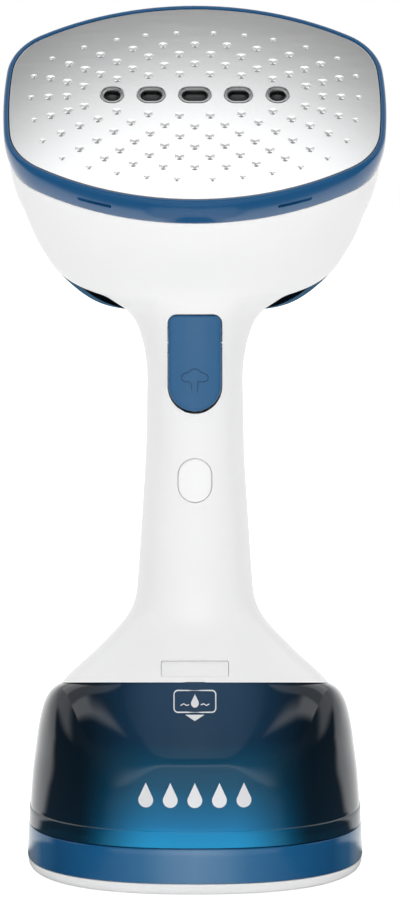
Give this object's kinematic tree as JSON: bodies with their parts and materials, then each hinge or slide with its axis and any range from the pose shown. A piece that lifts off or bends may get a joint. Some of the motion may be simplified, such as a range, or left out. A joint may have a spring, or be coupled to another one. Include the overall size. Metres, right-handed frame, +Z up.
{
  "type": "handheld garment steamer",
  "caption": "Upright handheld garment steamer with a tilted metal soleplate, sprung steam trigger, power button and a detachable clear water tank that it stands on.",
  "frame": {"origin": "centre of the flat underside of the foot, which it stands on", "axes": "+Z up along the handle, -Y is the front that the trigger and soleplate face, +X to the right seen from the front"},
  "size_m": [0.1222, 0.1057, 0.2835],
  "materials": {
    "brushed_plate": "satin with raised bumps",
    "gloss_blue": "gloss",
    "white_shell": "semi-gloss",
    "navy_cover": "gloss",
    "steel": "plain",
    "black_plastic": "matt",
    "red_plastic": "matt",
    "white_button": "satin",
    "green_board": "printed board",
    "led_lens": "clear",
    "cast_aluminium": "cast",
    "silicone": "soft",
    "element_sheath": "oxidised",
    "ceramic": "ceramic",
    "brass": "turned",
    "hose": "translucent",
    "pale_plastic": "matt",
    "copper": "enamelled winding",
    "black_rubber": "soft",
    "grey_plastic": "matt",
    "tank_blue": "dark blue clear plastic"
  },
  "bodies": {
    "body": {"soleplate": "brushed_plate", "head_bezel": "gloss_blue", "front_shell": "white_shell", "rear_shell": "white_shell", "head_rear_cover": "navy_cover", "trigger_pin": "steel", "trigger_spring": "steel", "microswitch": "black_plastic", "tact_switch": "black_plastic", "control_board": "green_board", "board_led": "led_lens", "steam_chamber": "cast_aluminium", "chamber_gasket": "silicone", "chamber_cover": "cast_aluminium", "heating_element": "element_sheath", "heat_shield": "black_plastic", "thermostat": "ceramic", "thermal_fuse": "ceramic", "steam_inlet": "brass", "delivery_hose": "hose", "check_valve": "pale_plastic", "pump_body": "black_plastic", "pump_coil": "copper", "pump_mounts": "black_rubber", "pump_outlet": "pale_plastic", "suction_hose": "hose", "tank_coupling": "grey_plastic", "coupling_seal": "black_rubber", "cord_gland": "black_rubber", "cord_clamp": "pale_plastic", "terminal_block": "pale_plastic", "shell_screws": "steel", "chamber_screws": "steel", "board_screws": "steel"},
    "tank": {"water_tank": "tank_blue", "tank_base_ring": "gloss_blue", "base_foot": "white_shell", "rubber_feet": "black_rubber", "tank_neck_strainer": "pale_plastic", "tank_pickup_tube": "pale_plastic", "cap_pin": "steel", "filler_seal": "black_rubber"},
    "trigger": {"steam_trigger": "gloss_blue"},
    "switch_plunger": {"microswitch_plunger": "red_plastic"},
    "button": {"power_button": "white_button"},
    "cap": {"filler_cap": "gloss_blue"},
    "latch": {"release_button": "white_button", "release_spring": "steel"}
  },
  "joints": [
    {"name": "tank_slide", "type": "slide", "parent": "body", "child": "tank", "axis": [0, 0, -1], "range_m": [0, 0.05]},
    {"name": "trigger_hinge", "type": "hinge", "parent": "body", "child": "trigger", "pos_m": [0, -0.013, 0.178], "axis": [1, 0, 0], "range_deg": [0, 5], "stiffness_Nm_per_rad": 0.6, "springref_deg": -2.86},
    {"name": "switch_plunger_slide", "type": "slide", "parent": "body", "child": "switch_plunger", "axis": [0, 1, 0], "range_m": [0, 0.0016]},
    {"name": "power_button_slide", "type": "slide", "parent": "body", "child": "button", "axis": [0, 1, 0], "range_m": [0, 0.001], "stiffness_N_per_m": 900, "springref_m": -0.0005},
    {"name": "release_button_slide", "type": "slide", "parent": "body", "child": "latch", "axis": [0, 0.81, -0.5864], "range_m": [0, 0.002], "stiffness_N_per_m": 600, "springref_m": -0.001},
    {"name": "filler_cap_hinge", "type": "hinge", "parent": "tank", "child": "cap", "pos_m": [0, 0.0522, 0.0212], "axis": [-1, 0, 0], "range_deg": [0, 100]}
  ],
  "couplings": [
    {"joint": "switch_plunger_slide", "follows": "trigger_hinge", "m_per_rad": 0.018}
  ]
}
